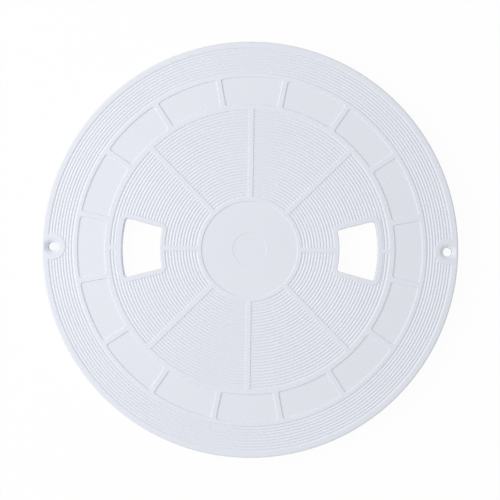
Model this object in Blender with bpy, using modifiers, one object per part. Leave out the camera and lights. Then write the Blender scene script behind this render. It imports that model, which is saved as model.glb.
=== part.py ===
"""Round skimmer lid for a pool deck, moulded in one piece.

The top carries two fields of ring grooves with eight spokes across the inner one, a band of sunk panels between
the fields, a plain sunk disc in the middle, two finger openings and two countersunk screw holes. Underneath,
a rim wall carries the lid, and ribs stand below the spokes and below the bars between the panels.

Metres, +Z up. The origin is the middle of the seat plane, where the foot of the rim wall rests.
"""

import math

import bmesh
import bpy
from mathutils import Matrix, Vector

# Overall form
OUTER_RADIUS = 0.1254
HEIGHT = 0.0095
DECK = 0.0030
RIM_WALL = 0.0030
TOP_EDGE_RADIUS = 0.0008
FOOT_CHAMFER = 0.0004

# Lands: the flat rings at the deck's own height, from the rim inwards
BORDER = 0.0035
BAND_OUTER_LAND = 0.0022
BAND_INNER_LAND = 0.0029
HUB_LAND = 0.0023

# Ring grooves: V-shaped, side by side, with a crest between each two that ends just below the lands
GROOVE_DEPTH = 0.0006
CREST_DROP = 0.0001
OUTER_GROOVES = 9
OUTER_GROOVE_PITCH = 0.001745
INNER_GROOVE_PITCH = 0.00183

# Spokes, and the panels with bars of the same kind between them
SPOKES = 8
SPOKE_WIDTH = 0.0030
PANELS = 16
PANEL_LENGTH = 0.01665
PANEL_DEPTH = 0.0006
PANEL_CORNER = 0.0014
BAR_WIDTH = 0.0030

# Middle
DISC_RADIUS = 0.0290
DISC_DEPTH = 0.0005
DIMPLE_RADIUS = 0.0101
DIMPLE_DEPTH = 0.0002

# Finger openings
FINGER_SETBACK = 0.0070
FINGER_LENGTH = 0.0235
FINGER_HALF_ANGLE = math.radians(15)
FINGER_SIDE_INSET = 0.0020
FINGER_CORNER = 0.0017
FINGER_EDGE_RADIUS = 0.0002
FINGER_FRAME = 0.0030
FINGER_WALL = 0.0022

# Screw holes
SCREW_INSET = 0.00634
SCREW_HOLE_RADIUS = 0.0027
SCREW_SINK_RADIUS = 0.0050
SCREW_SINK_DEPTH = 0.0023
SCREW_PAD_RADIUS = 0.0079
SCREW_BOSS_SETBACK = 0.0006
SCREW_BOSS_DEPTH = 0.0056

# Ribs: the ring ribs and the walls round the finger openings stop short of the seat plane, the straight ribs
# a little sooner
RIB_WIDTH = 0.0022
RIB_CLEARANCE = 0.0010
STRAIGHT_RIB_STEP = 0.0006

# Fineness
BODY_STEPS = 48
OUTER_FIELD_STEPS = 48
INNER_FIELD_STEPS = 32
HOLE_STEPS = 20
ARC_STEPS = 2
CORNER_STEPS = 2
EDGE_STEPS = 2
SHARP_ANGLE = math.radians(25)

# How far a cutter reaches past what it cuts, and how far a rib reaches into what it stands on
MARGIN = 0.002
ROOT = 0.0007

# Heights
CREST_TOP = HEIGHT - CREST_DROP
GROOVE_FLOOR = HEIGHT - GROOVE_DEPTH
DECK_UNDERSIDE = HEIGHT - DECK

# Radii, each worked out from its neighbour
OUTER_FIELD_END = OUTER_RADIUS - BORDER
OUTER_FIELD_START = OUTER_FIELD_END - OUTER_GROOVES * OUTER_GROOVE_PITCH
PANEL_END = OUTER_FIELD_START - BAND_OUTER_LAND
PANEL_START = PANEL_END - PANEL_LENGTH
INNER_FIELD_END = PANEL_START - BAND_INNER_LAND
INNER_FIELD_START = DISC_RADIUS + HUB_LAND
INNER_GROOVES = round((INNER_FIELD_END - INNER_FIELD_START) / INNER_GROOVE_PITCH)
FINGER_END = INNER_FIELD_END - FINGER_SETBACK
FINGER_START = FINGER_END - FINGER_LENGTH
SCREW_PLACE = OUTER_RADIUS - SCREW_INSET
RIM_INNER_RADIUS = OUTER_RADIUS - RIM_WALL
HUB_RIB_RADIUS = (DISC_RADIUS + INNER_FIELD_START) / 2
BAND_RIB_RADIUS = (INNER_FIELD_END + PANEL_START) / 2

FULL_TURN = 2 * math.pi
QUARTER_TURN = FULL_TURN / 4
PANEL_PITCH = FULL_TURN / PANELS
RIGHT_AND_LEFT = (0, math.pi)


def clear_scene():
    for old in list(bpy.data.objects):
        bpy.data.objects.remove(old, do_unlink=True)


def new_collection(name):
    collection = bpy.data.collections.new(name)
    bpy.context.scene.collection.children.link(collection)
    return collection


def new_object(name, bm, collection):
    mesh = bpy.data.meshes.new(name)
    bm.to_mesh(mesh)
    bm.free()
    made = bpy.data.objects.new(name, mesh)
    collection.objects.link(made)
    return made


def new_cutter(name, bm):
    cutter = new_object(name, bm, cutters)
    cutter.hide_render = True
    cutter.display_type = "WIRE"
    return cutter


def white_plastic():
    material = bpy.data.materials.new("white_plastic")
    material.use_nodes = True
    shader = material.node_tree.nodes["Principled BSDF"]
    shader.inputs["Base Color"].default_value = (0.80, 0.82, 0.86, 1)
    shader.inputs["Roughness"].default_value = 0.45
    shader.inputs["Metallic"].default_value = 0
    return material


def profile(points, closed):
    """Edges through (radius, height) points at +X, ready to be turned."""
    bm = bmesh.new()
    corners = [bm.verts.new((radius, 0, height)) for radius, height in points]
    ends = corners[1:] + corners[:1] if closed else corners[1:]
    for start, end in zip(corners, ends):
        bm.edges.new((start, end))
    return bm


def turn(made, steps):
    screw = made.modifiers.new("Turn", "SCREW")
    screw.angle = FULL_TURN
    screw.steps = steps
    screw.render_steps = steps
    screw.use_merge_vertices = True
    screw.merge_threshold = 0.00001
    return made


def boolean(target, tool, operation="DIFFERENCE"):
    step = target.modifiers.new(operation.title() + " " + tool.name, "BOOLEAN")
    step.operation = operation
    step.solver = "EXACT"
    step.object = tool


def on_circle(radius, angle):
    return radius * Vector((math.cos(angle), math.sin(angle)))


def arc(centre, radius, start, end, steps):
    """Points along an arc, both ends included."""
    return [centre + on_circle(radius, start + (end - start) * step / steps) for step in range(steps + 1)]


def sector_outline(start, end, half_angle, inset, corner):
    """Outline of a ring sector about +X, anticlockwise from the middle of its outer arc.

    Its sides run parallel to the radial lines at +-half_angle, inset from them, and its corners are rounded.
    """
    axis = Vector((0, 0))
    side_normal = half_angle + QUARTER_TURN
    far_angle = half_angle - math.asin((inset + corner) / (end - corner))
    near_angle = half_angle - math.asin((inset + corner) / (start + corner))
    far_corner = on_circle(end - corner, far_angle)
    near_corner = on_circle(start + corner, near_angle)
    upper = arc(axis, end, 0, far_angle, ARC_STEPS)[:-1]
    upper += arc(far_corner, corner, far_angle, side_normal, CORNER_STEPS)
    upper += arc(near_corner, corner, side_normal, near_angle + math.pi, CORNER_STEPS)
    upper += arc(axis, start, near_angle, 0, ARC_STEPS)[1:]
    lower = [Vector((point.x, -point.y)) for point in reversed(upper[1:-1])]
    return upper + lower


def loft(bm, levels, angle):
    """Closed solid through outlines of equal length, each at its height from the lowest up, turned by angle."""
    placed = Matrix.Rotation(angle, 3, "Z")
    rings = []
    for outline, height in levels:
        rings.append([bm.verts.new(placed @ Vector((point.x, point.y, height))) for point in outline])
    for below, above in zip(rings, rings[1:]):
        for i in range(len(below)):
            after = (i + 1) % len(below)
            bm.faces.new((below[i], below[after], above[after], above[i]))
    bm.faces.new(reversed(rings[0]))
    bm.faces.new(rings[-1])


def radial_bars(name, count, first_angle, start, end, width, bottom, top):
    """Boxes laid out like the spokes of a wheel."""
    bm = bmesh.new()
    for index in range(count):
        size = Matrix.Diagonal((end - start, width, top - bottom, 1))
        place = Matrix.Translation(((start + end) / 2, 0, (bottom + top) / 2))
        turned = Matrix.Rotation(first_angle + index * FULL_TURN / count, 4, "Z")
        bmesh.ops.create_cube(bm, size=1, matrix=turned @ place @ size)
    return new_cutter(name, bm)


def screw_cylinders(name, radius, bottom, top):
    """An upright cylinder at each screw hole."""
    bm = bmesh.new()
    for angle in RIGHT_AND_LEFT:
        place = Matrix.Rotation(angle, 4, "Z") @ Matrix.Translation((SCREW_PLACE, 0, (bottom + top) / 2))
        bmesh.ops.create_cone(
            bm,
            cap_ends=True,
            segments=HOLE_STEPS,
            radius1=radius,
            radius2=radius,
            depth=top - bottom,
            matrix=place,
        )
    return new_cutter(name, bm)


def finger_outline(growth):
    """Outline of a finger opening, grown on all sides."""
    return sector_outline(
        FINGER_START - growth,
        FINGER_END + growth,
        FINGER_HALF_ANGLE,
        FINGER_SIDE_INSET - growth,
        FINGER_CORNER + max(growth, 0),
    )


def groove_field(name, start, end, grooves, steps):
    """Ring-shaped cutter with a V-shaped tooth to each groove.

    Its end slopes run on above the deck, so the outermost groove sides rise to the lands' own height.
    """
    half_pitch = (end - start) / grooves / 2
    points = [(start - half_pitch, HEIGHT + GROOVE_DEPTH), (end + half_pitch, HEIGHT + GROOVE_DEPTH)]
    for index in reversed(range(1, 2 * grooves)):
        height = GROOVE_FLOOR if index % 2 else CREST_TOP
        points.append((start + index * half_pitch, height))
    return turn(new_cutter(name, profile(points, closed=True)), steps)


def ring_rib(radius):
    """Section of a rib that runs round below the deck, from its outer side to its inner side."""
    outer = radius + RIB_WIDTH / 2
    inner = radius - RIB_WIDTH / 2
    return [
        (outer, DECK_UNDERSIDE),
        (outer, RIB_CLEARANCE),
        (inner, RIB_CLEARANCE),
        (inner, DECK_UNDERSIDE),
    ]


def turned_lid():
    """The turned form: the sunk middle, the deck, the rounded rim with its wall, and the two ring ribs."""
    edge_middle = Vector((OUTER_RADIUS - TOP_EDGE_RADIUS, HEIGHT - TOP_EDGE_RADIUS))
    points = [
        (0, HEIGHT - DISC_DEPTH - DIMPLE_DEPTH),
        (DIMPLE_RADIUS, HEIGHT - DISC_DEPTH - DIMPLE_DEPTH),
        (DIMPLE_RADIUS, HEIGHT - DISC_DEPTH),
        (DISC_RADIUS, HEIGHT - DISC_DEPTH),
        (DISC_RADIUS, HEIGHT),
    ]
    points += [tuple(point) for point in arc(edge_middle, TOP_EDGE_RADIUS, QUARTER_TURN, 0, EDGE_STEPS)]
    points += [
        (OUTER_RADIUS, FOOT_CHAMFER),
        (OUTER_RADIUS - FOOT_CHAMFER, 0),
        (RIM_INNER_RADIUS, 0),
        (RIM_INNER_RADIUS, DECK_UNDERSIDE),
    ]
    points += ring_rib(BAND_RIB_RADIUS) + ring_rib(HUB_RIB_RADIUS)
    points.append((0, DECK_UNDERSIDE))
    return turn(new_object("skimmer_lid", profile(points, closed=False), parts), BODY_STEPS)


def add_underside(lid):
    """Ribs below the spokes and below the bars, walls round the finger openings, and bosses at the screws."""
    rib_bottom = RIB_CLEARANCE + STRAIGHT_RIB_STEP
    root = DECK_UNDERSIDE + ROOT
    boolean(lid, radial_bars(
        "spoke_ribs", SPOKES, 0, HUB_RIB_RADIUS, BAND_RIB_RADIUS, RIB_WIDTH, rib_bottom, root
    ), "UNION")
    boolean(lid, radial_bars(
        "bar_ribs",
        PANELS,
        PANEL_PITCH / 2,
        BAND_RIB_RADIUS,
        OUTER_RADIUS - RIM_WALL / 2,
        RIB_WIDTH,
        rib_bottom,
        root,
    ), "UNION")
    walls = bmesh.new()
    outline = finger_outline(FINGER_WALL)
    for angle in RIGHT_AND_LEFT:
        loft(walls, [(outline, RIB_CLEARANCE), (outline, root)], angle)
    boolean(lid, new_cutter("finger_walls", walls), "UNION")
    boss_radius = SCREW_INSET - SCREW_BOSS_SETBACK
    boolean(lid, screw_cylinders("screw_bosses", boss_radius, HEIGHT - SCREW_BOSS_DEPTH, root), "UNION")


def cut_outer_grooves(lid):
    field = groove_field(
        "outer_grooves", OUTER_FIELD_START, OUTER_FIELD_END, OUTER_GROOVES, OUTER_FIELD_STEPS
    )
    pads = screw_cylinders("screw_pads", SCREW_PAD_RADIUS, GROOVE_FLOOR - MARGIN, HEIGHT + 2 * MARGIN)
    boolean(field, pads)
    boolean(lid, field)


def cut_inner_grooves(lid):
    field = groove_field(
        "inner_grooves", INNER_FIELD_START, INNER_FIELD_END, INNER_GROOVES, INNER_FIELD_STEPS
    )
    spokes = radial_bars(
        "spokes",
        SPOKES,
        0,
        INNER_FIELD_START - MARGIN,
        INNER_FIELD_END + MARGIN,
        SPOKE_WIDTH,
        GROOVE_FLOOR - MARGIN,
        HEIGHT + 2 * MARGIN,
    )
    frames = bmesh.new()
    outline = finger_outline(FINGER_FRAME)
    for angle in RIGHT_AND_LEFT:
        loft(frames, [(outline, GROOVE_FLOOR - MARGIN), (outline, HEIGHT + 2 * MARGIN)], angle)
    boolean(field, spokes)
    boolean(field, new_cutter("finger_frames", frames))
    boolean(lid, field)


def cut_panels(lid):
    outline = sector_outline(PANEL_START, PANEL_END, PANEL_PITCH / 2, BAR_WIDTH / 2, PANEL_CORNER)
    panels = bmesh.new()
    for index in range(PANELS):
        loft(panels, [(outline, HEIGHT - PANEL_DEPTH), (outline, HEIGHT + MARGIN)], index * PANEL_PITCH)
    boolean(lid, new_cutter("panels", panels))


def cut_finger_openings(lid):
    """Straight through, with the upper edge rounded over."""
    levels = [(finger_outline(0), -MARGIN)]
    for step in range(EDGE_STEPS + 1):
        angle = QUARTER_TURN * step / EDGE_STEPS
        growth = FINGER_EDGE_RADIUS * (1 - math.cos(angle))
        height = HEIGHT - FINGER_EDGE_RADIUS * (1 - math.sin(angle))
        levels.append((finger_outline(growth), height))
    levels.append((finger_outline(FINGER_EDGE_RADIUS), HEIGHT + MARGIN))
    openings = bmesh.new()
    for angle in RIGHT_AND_LEFT:
        loft(openings, levels, angle)
    boolean(lid, new_cutter("finger_openings", openings))


def cut_screw_holes(lid):
    """A plain bore with a countersink, turned about each screw's own axis."""
    slope = (SCREW_SINK_RADIUS - SCREW_HOLE_RADIUS) / SCREW_SINK_DEPTH
    points = [
        (0, HEIGHT + MARGIN),
        (SCREW_SINK_RADIUS + slope * MARGIN, HEIGHT + MARGIN),
        (SCREW_HOLE_RADIUS, HEIGHT - SCREW_SINK_DEPTH),
        (SCREW_HOLE_RADIUS, -MARGIN),
        (0, -MARGIN),
    ]
    for angle, side in zip(RIGHT_AND_LEFT, ("right", "left")):
        hole = turn(new_cutter("screw_hole_" + side, profile(points, closed=False)), HOLE_STEPS)
        hole.location = on_circle(SCREW_PLACE, angle).to_3d()
        boolean(lid, hole)


def settle(made, material):
    """The cuts made final, and the round faces shaded smooth up to the sharp edges."""
    bpy.context.view_layer.update()
    graph = bpy.context.evaluated_depsgraph_get()
    mesh = bpy.data.meshes.new_from_object(made.evaluated_get(graph))
    mesh.name = made.name
    made.modifiers.clear()
    made.data = mesh
    mesh.materials.clear()
    mesh.materials.append(material)
    mesh.shade_smooth()
    mesh.set_sharp_from_angle(angle=SHARP_ANGLE)


clear_scene()
parts = new_collection("pool_skimmer_lid")
cutters = new_collection("cutters")
cutters.hide_render = True

lid = turned_lid()
add_underside(lid)
cut_outer_grooves(lid)
cut_inner_grooves(lid)
cut_panels(lid)
cut_finger_openings(lid)
cut_screw_holes(lid)
settle(lid, white_plastic())
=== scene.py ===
import math

import bmesh
import bpy
from mathutils import Matrix, Vector


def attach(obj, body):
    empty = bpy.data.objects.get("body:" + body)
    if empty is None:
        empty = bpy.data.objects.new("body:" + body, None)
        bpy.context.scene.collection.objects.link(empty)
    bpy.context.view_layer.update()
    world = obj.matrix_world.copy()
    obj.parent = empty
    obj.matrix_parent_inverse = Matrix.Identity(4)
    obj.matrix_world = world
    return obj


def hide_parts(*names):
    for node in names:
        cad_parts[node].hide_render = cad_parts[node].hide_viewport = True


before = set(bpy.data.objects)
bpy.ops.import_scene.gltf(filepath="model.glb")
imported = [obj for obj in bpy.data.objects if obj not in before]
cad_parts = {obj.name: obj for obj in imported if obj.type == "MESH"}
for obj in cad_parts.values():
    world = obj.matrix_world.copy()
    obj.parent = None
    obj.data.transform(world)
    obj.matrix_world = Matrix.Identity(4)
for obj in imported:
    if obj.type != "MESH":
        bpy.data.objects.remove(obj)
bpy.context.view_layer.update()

# Sizes of the lid, in metres, with the seat plane at z = 0
OUTER_RADIUS = 0.1254
HEIGHT = 0.0095
DECK = 0.0030
RIM_WALL = 0.0030
TOP_EDGE_RADIUS = 0.0010

OUTER_FIELD = (0.106195, 0.1219)
INNER_FIELD = (0.0313, 0.084445)
PANEL_BAND = (0.087345, 0.103995)
GROOVE_DEPTH = 0.0006
CREST_DROP = 0.0001
OUTER_GROOVES = 9
INNER_GROOVES = 29

SPOKES = 8
SPOKE_WIDTH = 0.0030
PANELS = 16
PANEL_DEPTH = 0.0006
PANEL_CORNER = 0.0014
BAR_WIDTH = 0.0030

DISC_RADIUS = 0.0290
DISC_DEPTH = 0.0005
DIMPLE_RADIUS = 0.0101
DIMPLE_DEPTH = 0.0002

FINGER_OPENING = (0.0541, 0.0773)
FINGER_HALF_ANGLE = math.radians(15)
FINGER_SIDE_INSET = 0.0019
FINGER_CORNER = 0.0017
FINGER_EDGE_RADIUS = 0.0005
FINGER_FRAME = 0.0030
FINGER_WALL = 0.0022

SCREW_PLACE = 0.11906
SCREW_HOLE_RADIUS = 0.0027
SCREW_SINK_RADIUS = 0.0050
SCREW_SINK_DEPTH = 0.0023
SCREW_PAD_RADIUS = 0.0079
SCREW_BOSS_RADIUS = 0.00574
SCREW_BOSS_DEPTH = 0.0056

HUB_RIB_RADIUS = 0.03015
BAND_RIB_RADIUS = 0.085895
RIB_WIDTH = 0.0022
RIB_CLEARANCE = 0.0010
STRAIGHT_RIB_STEP = 0.0006

# Rounding that the mould leaves on edges and in corners
GROOVE_ROUND = 0.00030
LAND_EDGE = 0.00022
FLOOR_FILLET = 0.00025
DIMPLE_EDGE = 0.00008
SINK_EDGE = 0.00020
RIB_EDGE = 0.00035
RIB_FILLET = 0.00050

# Steps round a full turn, along an arc, and across a rounded edge
BODY_STEPS = 240
HOLE_STEPS = 72
ARC_STEPS = 8
CORNER_STEPS = 6
EDGE_STEPS = 4
ROUND_STEP = math.radians(25)
SHARP_ANGLE = math.radians(50)

# How far a cutter passes what it cuts, how deep a rib starts in the deck, and when points are one
MARGIN = 0.002
ROOT = 0.0007
WELD = 0.000001

CREST_TOP = HEIGHT - CREST_DROP
GROOVE_FLOOR = HEIGHT - GROOVE_DEPTH
DECK_UNDERSIDE = HEIGHT - DECK
FULL_TURN = 2 * math.pi
QUARTER_TURN = FULL_TURN / 4
PANEL_PITCH = FULL_TURN / PANELS
RIGHT_AND_LEFT = (0, math.pi)


def new_object(name, bm):
    mesh = bpy.data.meshes.new(name)
    bm.to_mesh(mesh)
    bm.free()
    made = bpy.data.objects.new(name, mesh)
    bpy.context.scene.collection.objects.link(made)
    return made


def on_circle(radius, angle):
    return radius * Vector((math.cos(angle), math.sin(angle)))


def arc(centre, radius, start, end, steps):
    """Points along an arc, both ends included."""
    return [centre + on_circle(radius, start + (end - start) * step / steps) for step in range(steps + 1)]


def rounded(corners):
    """An open path through (x, z, radius) corners, each rounded by its own radius."""
    points = []
    for i, (x, z, radius) in enumerate(corners):
        corner = Vector((x, z))
        if not radius:
            points.append(corner)
            continue
        before = (Vector(corners[i - 1][:2]) - corner).normalized()
        after = (Vector(corners[i + 1][:2]) - corner).normalized()
        half = before.angle(after) / 2
        centre = corner + (before + after).normalized() * radius / math.sin(half)
        first = corner + before * radius / math.tan(half) - centre
        last = corner + after * radius / math.tan(half) - centre
        start = math.atan2(first.y, first.x)
        sweep = math.remainder(math.atan2(last.y, last.x) - start, FULL_TURN)
        points += arc(centre, radius, start, start + sweep, max(2, round(abs(sweep) / ROUND_STEP)))
    return points


def turned(name, points, steps, closed=False):
    """Solid of revolution of a profile given as (radius, height) points."""
    bm = bmesh.new()
    corners = [bm.verts.new((point[0], 0, point[1])) for point in points]
    ends = corners[1:] + corners[:1] if closed else corners[1:]
    edges = [bm.edges.new(pair) for pair in zip(corners, ends)]
    bmesh.ops.spin(
        bm,
        geom=corners + edges,
        axis=(0, 0, 1),
        cent=(0, 0, 0),
        steps=steps,
        angle=FULL_TURN,
        use_merge=True,
    )
    bmesh.ops.remove_doubles(bm, verts=bm.verts, dist=WELD)
    bmesh.ops.recalc_face_normals(bm, faces=bm.faces)
    return new_object(name, bm)


def sector_outline(start, end, half_angle, inset, corner):
    """Outline of a ring sector about +X, anticlockwise from the middle of its outer arc.

    Its sides run parallel to the radial lines at +-half_angle, inset from them, and its corners are rounded.
    """
    axis = Vector((0, 0))
    side_normal = half_angle + QUARTER_TURN
    far_angle = half_angle - math.asin((inset + corner) / (end - corner))
    near_angle = half_angle - math.asin((inset + corner) / (start + corner))
    far_corner = on_circle(end - corner, far_angle)
    near_corner = on_circle(start + corner, near_angle)
    upper = arc(axis, end, 0, far_angle, ARC_STEPS)[:-1]
    upper += arc(far_corner, corner, far_angle, side_normal, CORNER_STEPS)
    upper += arc(near_corner, corner, side_normal, near_angle + math.pi, CORNER_STEPS)
    upper += arc(axis, start, near_angle, 0, ARC_STEPS)[1:]
    lower = [Vector((point.x, -point.y)) for point in reversed(upper[1:-1])]
    return upper + lower


def finger_outline(growth):
    return sector_outline(
        FINGER_OPENING[0] - growth,
        FINGER_OPENING[1] + growth,
        FINGER_HALF_ANGLE,
        FINGER_SIDE_INSET - growth,
        FINGER_CORNER + growth,
    )


def panel_outline(growth):
    return sector_outline(
        PANEL_BAND[0] - growth,
        PANEL_BAND[1] + growth,
        PANEL_PITCH / 2,
        BAR_WIDTH / 2 - growth,
        PANEL_CORNER + growth,
    )


def lofted(name, levels, angles):
    """Closed solids through outlines of equal length, each at its height from the lowest up."""
    bm = bmesh.new()
    for angle in angles:
        placed = Matrix.Rotation(angle, 3, "Z")
        rings = []
        for outline, height in levels:
            rings.append([bm.verts.new(placed @ Vector((point.x, point.y, height))) for point in outline])
        for below, above in zip(rings, rings[1:]):
            for i in range(len(below)):
                after = (i + 1) % len(below)
                bm.faces.new((below[i], below[after], above[after], above[i]))
        bm.faces.new(reversed(rings[0]))
        bm.faces.new(rings[-1])
    return new_object(name, bm)


def flare(radius, top):
    """(growth, height) steps of a cutter that rounds the upper edge of what it cuts."""
    steps = []
    for step in range(EDGE_STEPS + 1):
        angle = QUARTER_TURN * step / EDGE_STEPS
        steps.append((radius * (1 - math.cos(angle)), top - radius * (1 - math.sin(angle))))
    return steps


def crown(radius, top):
    """(growth, height) steps of a raised form whose own upper edge is rounded."""
    steps = []
    for step in range(EDGE_STEPS + 1):
        angle = QUARTER_TURN * step / EDGE_STEPS
        steps.append((radius * (math.cos(angle) - 1), top - radius * (1 - math.sin(angle))))
    return steps


def radial_bars(name, count, first_angle, start, end, section):
    """Closed bars laid out like the spokes of a wheel, each with the (across, height) section given."""
    bm = bmesh.new()
    for index in range(count):
        placed = Matrix.Rotation(first_angle + index * FULL_TURN / count, 3, "Z")
        near, far = (
            [bm.verts.new(placed @ Vector((along, across, height))) for across, height in section]
            for along in (start, end)
        )
        for i in range(len(section)):
            after = (i + 1) % len(section)
            bm.faces.new((near[i], near[after], far[after], far[i]))
        bm.faces.new(reversed(near))
        bm.faces.new(far)
    bmesh.ops.recalc_face_normals(bm, faces=bm.faces)
    return new_object(name, bm)


def rib_section(bottom, top):
    """Section of a straight rib, its lower edges rounded."""
    half = RIB_WIDTH / 2
    corners = [(half, top, 0), (half, bottom, RIB_EDGE), (-half, bottom, RIB_EDGE), (-half, top, 0)]
    return [tuple(point) for point in rounded(corners)]


def spoke_section():
    """Section of what stays uncut along a spoke, its upper edges rounded."""
    side = [(SPOKE_WIDTH / 2, GROOVE_FLOOR - MARGIN)]
    side += [(SPOKE_WIDTH / 2 + growth, height) for growth, height in crown(LAND_EDGE, HEIGHT)]
    side.append((SPOKE_WIDTH / 2 - LAND_EDGE, HEIGHT + 2 * MARGIN))
    return side + [(-across, height) for across, height in reversed(side)]


def combine(target, tool, operation="DIFFERENCE"):
    """The Boolean of the two made final in the target, and the tool removed."""
    step = target.modifiers.new("Step", "BOOLEAN")
    step.operation = operation
    step.solver = "MANIFOLD"
    step.object = tool
    bpy.context.view_layer.update()
    graph = bpy.context.evaluated_depsgraph_get()
    mesh = bpy.data.meshes.new_from_object(target.evaluated_get(graph))
    target.modifiers.clear()
    target.data = mesh
    bpy.data.objects.remove(tool, do_unlink=True)


def ring_rib(radius):
    """Section of a rib that runs round below the deck, from its outer side to its inner side."""
    outer = radius + RIB_WIDTH / 2
    inner = radius - RIB_WIDTH / 2
    return [
        (outer, DECK_UNDERSIDE, RIB_FILLET),
        (outer, RIB_CLEARANCE, RIB_EDGE),
        (inner, RIB_CLEARANCE, RIB_EDGE),
        (inner, DECK_UNDERSIDE, RIB_FILLET),
    ]


def body_of_lid():
    """The turned form: the sunk middle, the deck, the rounded rim with its wall, and the two ring ribs."""
    floor = HEIGHT - DISC_DEPTH
    rim_inner = OUTER_RADIUS - RIM_WALL
    corners = [
        (0, floor - DIMPLE_DEPTH, 0),
        (DIMPLE_RADIUS, floor - DIMPLE_DEPTH, DIMPLE_EDGE),
        (DIMPLE_RADIUS, floor, DIMPLE_EDGE),
        (DISC_RADIUS, floor, FLOOR_FILLET),
        (DISC_RADIUS, HEIGHT, LAND_EDGE),
        (OUTER_RADIUS, HEIGHT, TOP_EDGE_RADIUS),
        (OUTER_RADIUS, 0, RIB_EDGE),
        (rim_inner, 0, RIB_EDGE),
        (rim_inner, DECK_UNDERSIDE, RIB_FILLET),
    ]
    corners += ring_rib(BAND_RIB_RADIUS) + ring_rib(HUB_RIB_RADIUS) + [(0, DECK_UNDERSIDE, 0)]
    return turned("moulded_lid", rounded(corners), BODY_STEPS)


def groove_field(name, field, grooves):
    """Ring-shaped cutter with a rounded V-shaped tooth to each groove; the end slopes rise to the lands."""
    start, end = field
    half_pitch = (end - start) / grooves / 2
    corners = [(end + half_pitch, HEIGHT, 0), (end, HEIGHT, GROOVE_ROUND)]
    for index in reversed(range(1, 2 * grooves)):
        height = GROOVE_FLOOR if index % 2 else CREST_TOP
        corners.append((start + index * half_pitch, height, GROOVE_ROUND))
    corners += [(start, HEIGHT, GROOVE_ROUND), (start - half_pitch, HEIGHT, 0)]
    surface = rounded(corners)[1:-1]
    above = [(surface[-1].x, HEIGHT + MARGIN), (surface[0].x, HEIGHT + MARGIN)]
    return turned(name, above + surface, BODY_STEPS, closed=True)


def at_screws(name, points):
    """The same turned form at both screw holes."""
    first = turned(name, points, HOLE_STEPS)
    bm = bmesh.new()
    for angle in RIGHT_AND_LEFT:
        known = len(bm.verts)
        bm.from_mesh(first.data)
        bm.verts.ensure_lookup_table()
        bmesh.ops.transform(
            bm,
            matrix=Matrix.Rotation(angle, 4, "Z") @ Matrix.Translation((SCREW_PLACE, 0, 0)),
            verts=bm.verts[known:],
        )
    bpy.data.objects.remove(first, do_unlink=True)
    return new_object(name, bm)


def add_underside(lid):
    """Ribs below the spokes and the bars, walls round the finger openings, and bosses at the screws."""
    straight = rib_section(RIB_CLEARANCE + STRAIGHT_RIB_STEP, DECK_UNDERSIDE + ROOT)
    combine(lid, radial_bars("spoke_ribs", SPOKES, 0, HUB_RIB_RADIUS, BAND_RIB_RADIUS, straight), "UNION")
    rim_middle = OUTER_RADIUS - RIM_WALL / 2
    bars = radial_bars("bar_ribs", PANELS, PANEL_PITCH / 2, BAND_RIB_RADIUS, rim_middle, straight)
    combine(lid, bars, "UNION")
    levels = [(finger_outline(FINGER_WALL - RIB_EDGE / 2), RIB_CLEARANCE)]
    levels.append((finger_outline(FINGER_WALL), RIB_CLEARANCE + RIB_EDGE / 2))
    levels.append((finger_outline(FINGER_WALL), DECK_UNDERSIDE + ROOT))
    combine(lid, lofted("finger_walls", levels, RIGHT_AND_LEFT), "UNION")
    boss = [
        (0, DECK_UNDERSIDE + ROOT, 0),
        (SCREW_BOSS_RADIUS, DECK_UNDERSIDE + ROOT, 0),
        (SCREW_BOSS_RADIUS, HEIGHT - SCREW_BOSS_DEPTH, RIB_EDGE),
        (0, HEIGHT - SCREW_BOSS_DEPTH, 0),
    ]
    combine(lid, at_screws("screw_bosses", rounded(boss)), "UNION")


def cut_grooves(lid):
    """Both fields of grooves, less the screw pads, the spokes and the frames of the finger openings."""
    outer = groove_field("outer_grooves", OUTER_FIELD, OUTER_GROOVES)
    pad = [(0, HEIGHT + 2 * MARGIN), (SCREW_PAD_RADIUS - LAND_EDGE, HEIGHT + 2 * MARGIN)]
    pad += [(SCREW_PAD_RADIUS + growth, height) for growth, height in reversed(crown(LAND_EDGE, HEIGHT))]
    pad += [(SCREW_PAD_RADIUS, GROOVE_FLOOR - MARGIN), (0, GROOVE_FLOOR - MARGIN)]
    combine(outer, at_screws("screw_pads", pad))
    combine(lid, outer)
    inner = groove_field("inner_grooves", INNER_FIELD, INNER_GROOVES)
    start, end = INNER_FIELD[0] - MARGIN, INNER_FIELD[1] + MARGIN
    combine(inner, radial_bars("spokes", SPOKES, 0, start, end, spoke_section()))
    levels = [(finger_outline(FINGER_FRAME), GROOVE_FLOOR - MARGIN)]
    levels += [(finger_outline(FINGER_FRAME + growth), height) for growth, height in crown(LAND_EDGE, HEIGHT)]
    levels.append((finger_outline(FINGER_FRAME - LAND_EDGE), HEIGHT + 2 * MARGIN))
    combine(inner, lofted("finger_frames", levels, RIGHT_AND_LEFT))
    combine(lid, inner)


def cut_panels(lid):
    """The sunk panels, rounded where floor and wall meet and at the upper edge."""
    floor = HEIGHT - PANEL_DEPTH
    levels = []
    for step in range(EDGE_STEPS + 1):
        angle = QUARTER_TURN * step / EDGE_STEPS
        inset = FLOOR_FILLET * (1 - math.sin(angle))
        levels.append((panel_outline(-inset), floor + FLOOR_FILLET * (1 - math.cos(angle))))
    levels += [(panel_outline(growth), height) for growth, height in flare(LAND_EDGE, HEIGHT)]
    levels.append((panel_outline(LAND_EDGE), HEIGHT + MARGIN))
    angles = [index * PANEL_PITCH for index in range(PANELS)]
    combine(lid, lofted("panels", levels, angles))


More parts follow.
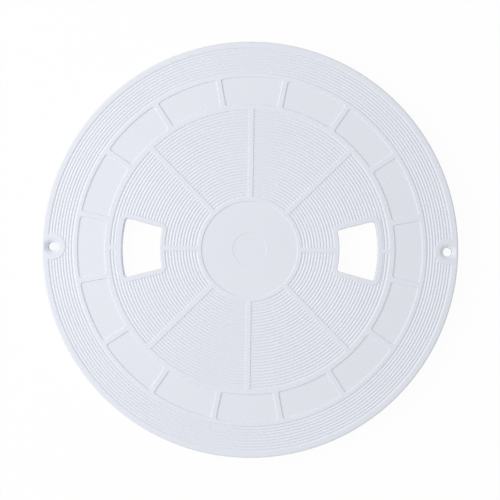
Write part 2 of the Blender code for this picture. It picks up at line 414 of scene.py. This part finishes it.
def cut_finger_openings(lid):
    """The finger openings, right through, with both of their edges eased."""
    levels = [(finger_outline(RIB_EDGE / 2), -MARGIN), (finger_outline(RIB_EDGE / 2), RIB_CLEARANCE)]
    levels.append((finger_outline(0), RIB_CLEARANCE + RIB_EDGE / 2))
    levels += [(finger_outline(growth), height) for growth, height in flare(FINGER_EDGE_RADIUS, HEIGHT)]
    levels.append((finger_outline(FINGER_EDGE_RADIUS), HEIGHT + MARGIN))
    combine(lid, lofted("finger_openings", levels, RIGHT_AND_LEFT))


def cut_screw_holes(lid):
    """The screw holes, right through, with their countersinks."""
    slope = (SCREW_SINK_RADIUS - SCREW_HOLE_RADIUS) / SCREW_SINK_DEPTH
    mouth = SCREW_SINK_RADIUS + SINK_EDGE
    corners = [
        (0, HEIGHT + MARGIN, 0),
        (mouth + slope * MARGIN, HEIGHT + MARGIN, 0),
        (SCREW_SINK_RADIUS, HEIGHT, 0),
        (SCREW_HOLE_RADIUS, HEIGHT - SCREW_SINK_DEPTH, SINK_EDGE),
        (SCREW_HOLE_RADIUS, -MARGIN, 0),
        (0, -MARGIN, 0),
    ]
    combine(lid, at_screws("screw_holes", rounded(corners)))


def put_in_order(parts, key):
    """The same order of points or faces each run, which the Boolean's parallel work doesn't give."""
    for index, part in enumerate(sorted(parts, key=key)):
        part.index = index
    parts.sort()


def finish_surface(lid, material):
    """Welded mesh in one material, smooth but for its sharp edges, with its flat faces shaded flat."""
    bm = bmesh.new()
    bm.from_mesh(lid.data)
    bmesh.ops.remove_doubles(bm, verts=bm.verts, dist=WELD)
    bmesh.ops.dissolve_degenerate(bm, dist=WELD, edges=bm.edges)
    put_in_order(bm.verts, lambda vert: tuple(vert.co))
    put_in_order(bm.faces, lambda face: sorted(vert.index for vert in face.verts))
    bm.to_mesh(lid.data)
    bm.free()
    lid.data.materials.clear()
    lid.data.materials.append(material)
    lid.data.shade_smooth()
    lid.data.set_sharp_from_angle(angle=SHARP_ANGLE)
    weighted = lid.modifiers.new("Flat faces stay flat", "WEIGHTED_NORMAL")
    weighted.keep_sharp = True


def node(tree, kind, place, **inputs):
    """A new node; an underscore in the name of an input stands for a space."""
    made = tree.nodes.new(kind)
    made.location = place
    for name, value in inputs.items():
        made.inputs[name.replace("_", " ")].default_value = value
    return made


PLASTIC_IOR = 1.49
PLASTIC_DARKER = (0.777, 0.801, 0.868, 1)
PLASTIC_LIGHTER = (0.802, 0.825, 0.890, 1)
PLASTIC_GLOSS = {"To_Min": 0.54, "To_Max": 0.66}
FLOW_SCALE = 26
GLOSS_SCALE = 170
GRAIN_SCALE = 2600
GRAIN_HEIGHT = 0.00005
GRAIN_SHARE = 0.03


def moulded_plastic():
    """Satin white plastic: slight flow tone, uneven gloss and the fine grain of the mould."""
    material = bpy.data.materials.new("white_plastic_moulded")
    material.use_nodes = True
    tree = material.node_tree
    shader = tree.nodes["Principled BSDF"]
    shader.inputs["IOR"].default_value = PLASTIC_IOR
    place = node(tree, "ShaderNodeTexCoord", (-1100, 0))

    # Sockets 6, 7 and 2 of a Mix node are its two colours and the mixed one
    tone = node(tree, "ShaderNodeTexNoise", (-850, 300), Scale=FLOW_SCALE, Detail=3, Roughness=0.5)
    tint = node(tree, "ShaderNodeMix", (-350, 300))
    tint.data_type = "RGBA"
    tint.inputs[6].default_value = PLASTIC_DARKER
    tint.inputs[7].default_value = PLASTIC_LIGHTER
    tree.links.new(place.outputs["Object"], tone.inputs["Vector"])
    tree.links.new(tone.outputs["Fac"], tint.inputs[0])
    tree.links.new(tint.outputs[2], shader.inputs["Base Color"])

    gloss = node(tree, "ShaderNodeTexNoise", (-850, 0), Scale=GLOSS_SCALE, Detail=4, Roughness=0.6)
    spread = node(tree, "ShaderNodeMapRange", (-350, 0), **PLASTIC_GLOSS)
    tree.links.new(place.outputs["Object"], gloss.inputs["Vector"])
    tree.links.new(gloss.outputs["Fac"], spread.inputs["Value"])
    tree.links.new(spread.outputs["Result"], shader.inputs["Roughness"])

    grain = node(tree, "ShaderNodeTexNoise", (-850, -300), Scale=GRAIN_SCALE, Detail=2, Roughness=0.5)
    bump = node(tree, "ShaderNodeBump", (-350, -300), Strength=GRAIN_SHARE, Distance=GRAIN_HEIGHT)
    tree.links.new(place.outputs["Object"], grain.inputs["Vector"])
    tree.links.new(grain.outputs["Fac"], bump.inputs["Height"])
    tree.links.new(bump.outputs["Normal"], shader.inputs["Normal"])
    return material


def seen_directly(tree, place):
    """1 for camera, glossy and transmission rays, which show the background itself."""
    path = node(tree, "ShaderNodeLightPath", place)
    total = path.outputs["Is Camera Ray"]
    for name in ("Is Glossy Ray", "Is Transmission Ray"):
        either = node(tree, "ShaderNodeMath", place)
        either.operation = "MAXIMUM"
        tree.links.new(total, either.inputs[0])
        tree.links.new(path.outputs[name], either.inputs[1])
        total = either.outputs[0]
    return total


WHITE = (1, 1, 1, 1)
FLOOR_SIZE = 6.0
FLOOR_COLOUR = (0.90, 0.90, 0.90, 1)
FLOOR_SHADOW_SHARE = 0.05


def white_floor():
    """White ground that keeps a faint shadow of the lid where it is seen directly."""
    bm = bmesh.new()
    bmesh.ops.create_grid(bm, x_segments=1, y_segments=1, size=FLOOR_SIZE / 2)
    floor = new_object("studio_floor", bm)
    material = bpy.data.materials.new("studio_floor")
    material.use_nodes = True
    tree = material.node_tree
    tree.nodes.remove(tree.nodes["Principled BSDF"])
    out = tree.nodes["Material Output"]
    paper = node(tree, "ShaderNodeBsdfDiffuse", (-500, 0), Color=FLOOR_COLOUR)
    bright = node(tree, "ShaderNodeEmission", (-500, 200), Color=WHITE, Strength=1)
    shown = node(tree, "ShaderNodeMixShader", (-250, 200), Fac=FLOOR_SHADOW_SHARE)
    switch = node(tree, "ShaderNodeMixShader", (0, 0))
    tree.links.new(bright.outputs[0], shown.inputs[1])
    tree.links.new(paper.outputs[0], shown.inputs[2])
    tree.links.new(seen_directly(tree, (-500, 400)), switch.inputs[0])
    tree.links.new(paper.outputs[0], switch.inputs[1])
    tree.links.new(shown.outputs[0], switch.inputs[2])
    tree.links.new(switch.outputs[0], out.inputs["Surface"])
    floor.data.materials.append(material)


WORLD_LIGHT = 0.572


def studio_world():
    """Even light from all sides, and plain white where the world itself is seen."""
    world = bpy.data.worlds.new("studio")
    bpy.context.scene.world = world
    world.use_nodes = True
    tree = world.node_tree
    light = tree.nodes["Background"]
    light.inputs["Color"].default_value = WHITE
    light.inputs["Strength"].default_value = WORLD_LIGHT
    white = node(tree, "ShaderNodeBackground", (-200, 200), Color=WHITE, Strength=1)
    switch = node(tree, "ShaderNodeMixShader", (100, 100))
    tree.links.new(seen_directly(tree, (-400, 400)), switch.inputs[0])
    tree.links.new(light.outputs[0], switch.inputs[1])
    tree.links.new(white.outputs[0], switch.inputs[2])
    tree.links.new(switch.outputs[0], tree.nodes["World Output"].inputs["Surface"])


LAMP_SIZE = 1.0
LAMP_POWER = 7.65
LAMP_DISTANCE = 1.1
LAMP_RISE = math.radians(45)
LAMP_BEARING = math.radians(172)


def soft_lamp():
    """One broad square lamp aimed at the lid from its left, seen in the photo."""
    lamp = bpy.data.lights.new("soft_lamp", "AREA")
    lamp.shape = "SQUARE"
    lamp.size = LAMP_SIZE
    lamp.energy = LAMP_POWER
    made = bpy.data.objects.new("soft_lamp", lamp)
    across = on_circle(math.cos(LAMP_RISE), LAMP_BEARING)
    made.location = LAMP_DISTANCE * Vector((across.x, across.y, math.sin(LAMP_RISE)))
    made.rotation_euler = made.location.to_track_quat("Z", "Y").to_euler()
    bpy.context.scene.collection.objects.link(made)


CAMERA_PLACE = Vector((0.0199, -0.01795, 1.0))
CAMERA_TARGET = Vector((0.0003, -0.00045, HEIGHT))
CAMERA_ROLL = math.radians(0.85)
CAMERA_LENS = 118.53
CAMERA_SENSOR = 36
CAMERA_NEAR = 0.01


def photo_camera():
    """Straight above the lid but for a slight lean, as the photo was taken."""
    camera = bpy.data.cameras.new("photo_camera")
    camera.lens = CAMERA_LENS
    camera.sensor_width = CAMERA_SENSOR
    camera.clip_start = CAMERA_NEAR
    made = bpy.data.objects.new("photo_camera", camera)
    back = (CAMERA_PLACE - CAMERA_TARGET).normalized()
    up = Vector((-math.sin(CAMERA_ROLL), math.cos(CAMERA_ROLL), 0))
    right = up.cross(back).normalized()
    up = back.cross(right)
    turn = Matrix((right, up, back)).transposed().to_4x4()
    made.matrix_world = Matrix.Translation(CAMERA_PLACE) @ turn
    bpy.context.scene.collection.objects.link(made)
    bpy.context.scene.camera = made


photo_camera()
lid = body_of_lid()
add_underside(lid)
cut_grooves(lid)
cut_panels(lid)
cut_finger_openings(lid)
cut_screw_holes(lid)
finish_surface(lid, moulded_plastic())
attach(lid, "root")
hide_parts("skimmer_lid")

white_floor()
studio_world()
soft_lamp()
bpy.context.scene.view_settings.view_transform = "Standard"
